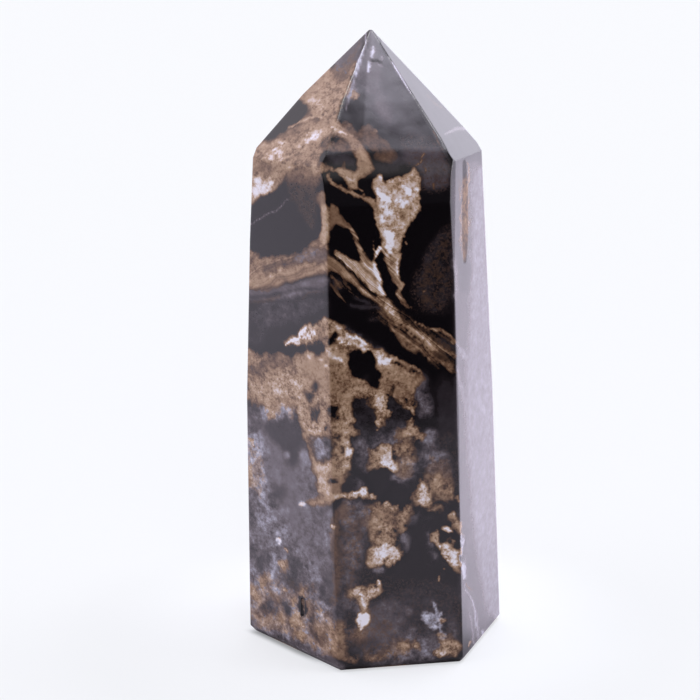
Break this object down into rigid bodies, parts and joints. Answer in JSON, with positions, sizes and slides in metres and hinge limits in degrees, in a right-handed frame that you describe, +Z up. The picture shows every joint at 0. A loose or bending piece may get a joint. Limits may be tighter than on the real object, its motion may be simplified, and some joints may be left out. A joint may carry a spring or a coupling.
{
  "type": "opal obelisk",
  "caption": "Upright opal obelisk with flat polished sides and a pointed top, standing on its own flat foot for display.",
  "frame": {"origin": "on the surface it stands on, under the middle of the stone's outline", "axes": "+Z up through the point, -Y out of the broad dark front side, +X to the right as seen from the front"},
  "size_m": [0.0384, 0.0344, 0.09],
  "materials": {
    "opal": "polished"
  },
  "bodies": {
    "root": {"obelisk": "opal"}
  },
  "joints": []
}
